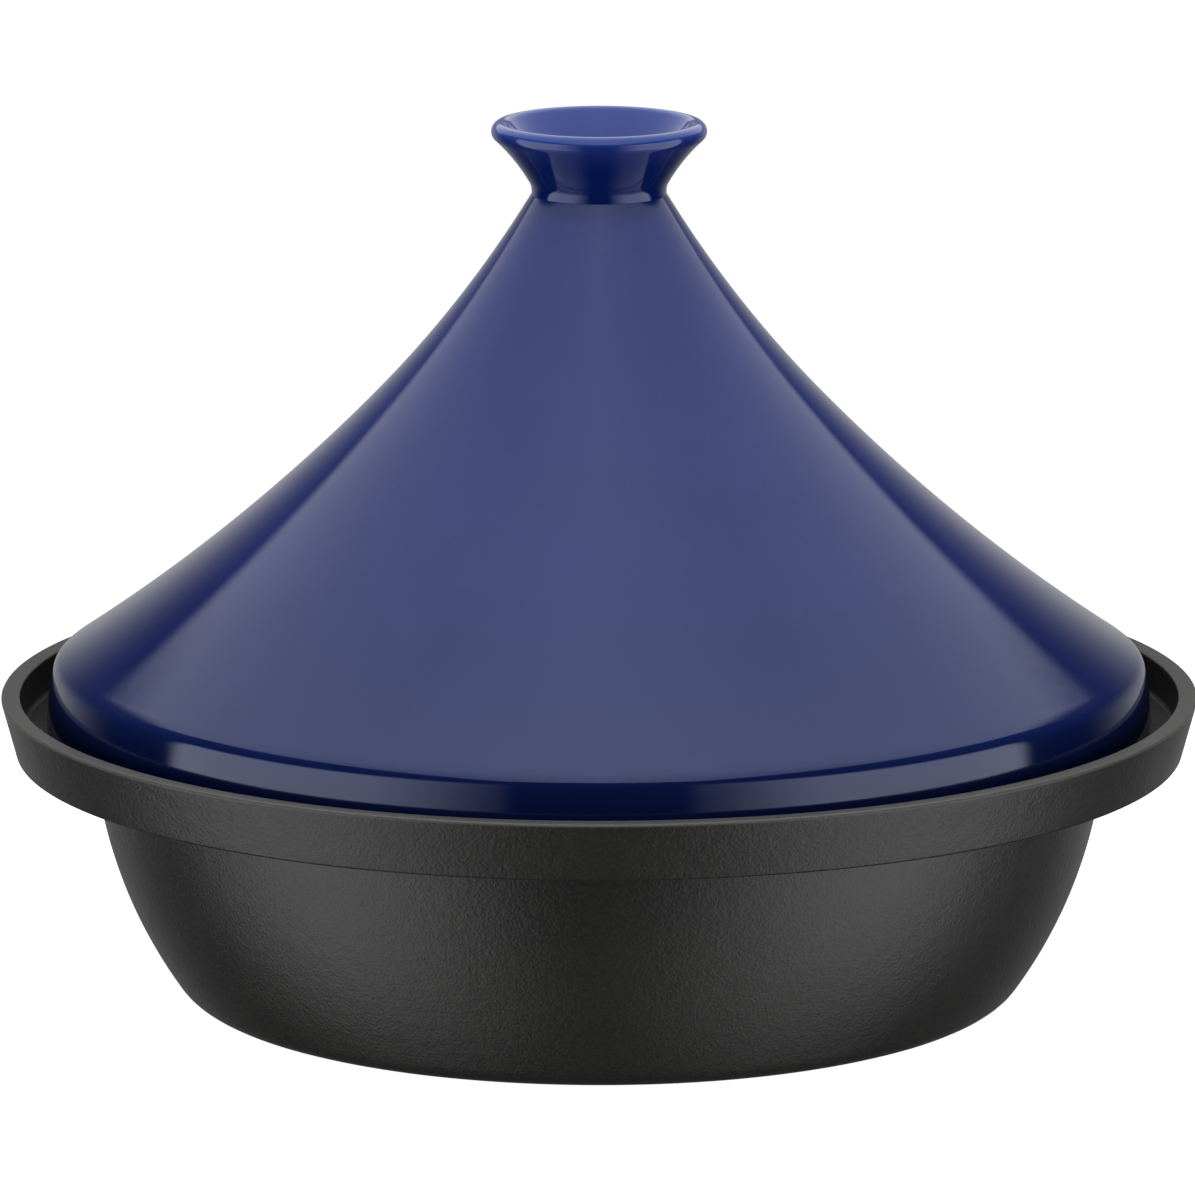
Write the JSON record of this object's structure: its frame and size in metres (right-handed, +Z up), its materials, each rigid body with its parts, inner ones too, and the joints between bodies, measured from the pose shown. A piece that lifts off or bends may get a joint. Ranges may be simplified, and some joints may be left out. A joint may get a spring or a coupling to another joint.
{
  "type": "tagine pot",
  "caption": "Round cooking pot with a flat-footed cast iron bowl under a wide rim, and a tall concave conical ceramic lid with a hollow flared knob.",
  "frame": {"origin": "middle of the flat foot, at the level of the table", "axes": "+Z up along the pot's axis of turning, from foot to knob; +X and +Y are equal, because the pot is round"},
  "size_m": [0.32, 0.32, 0.2357],
  "materials": {
    "cast_iron": "matte black seasoned casting with a fine pebbled skin",
    "blue_glaze": "glossy cobalt blue glaze, bare clay on the ring it stands on"
  },
  "bodies": {
    "base": {"cast_iron_base": "cast_iron"},
    "lid": {"ceramic_lid": "blue_glaze"}
  },
  "joints": [
    {"name": "lid_lift", "type": "slide", "parent": "base", "child": "lid", "axis": [0, 0, 1], "range_m": [0, 0.15]}
  ]
}
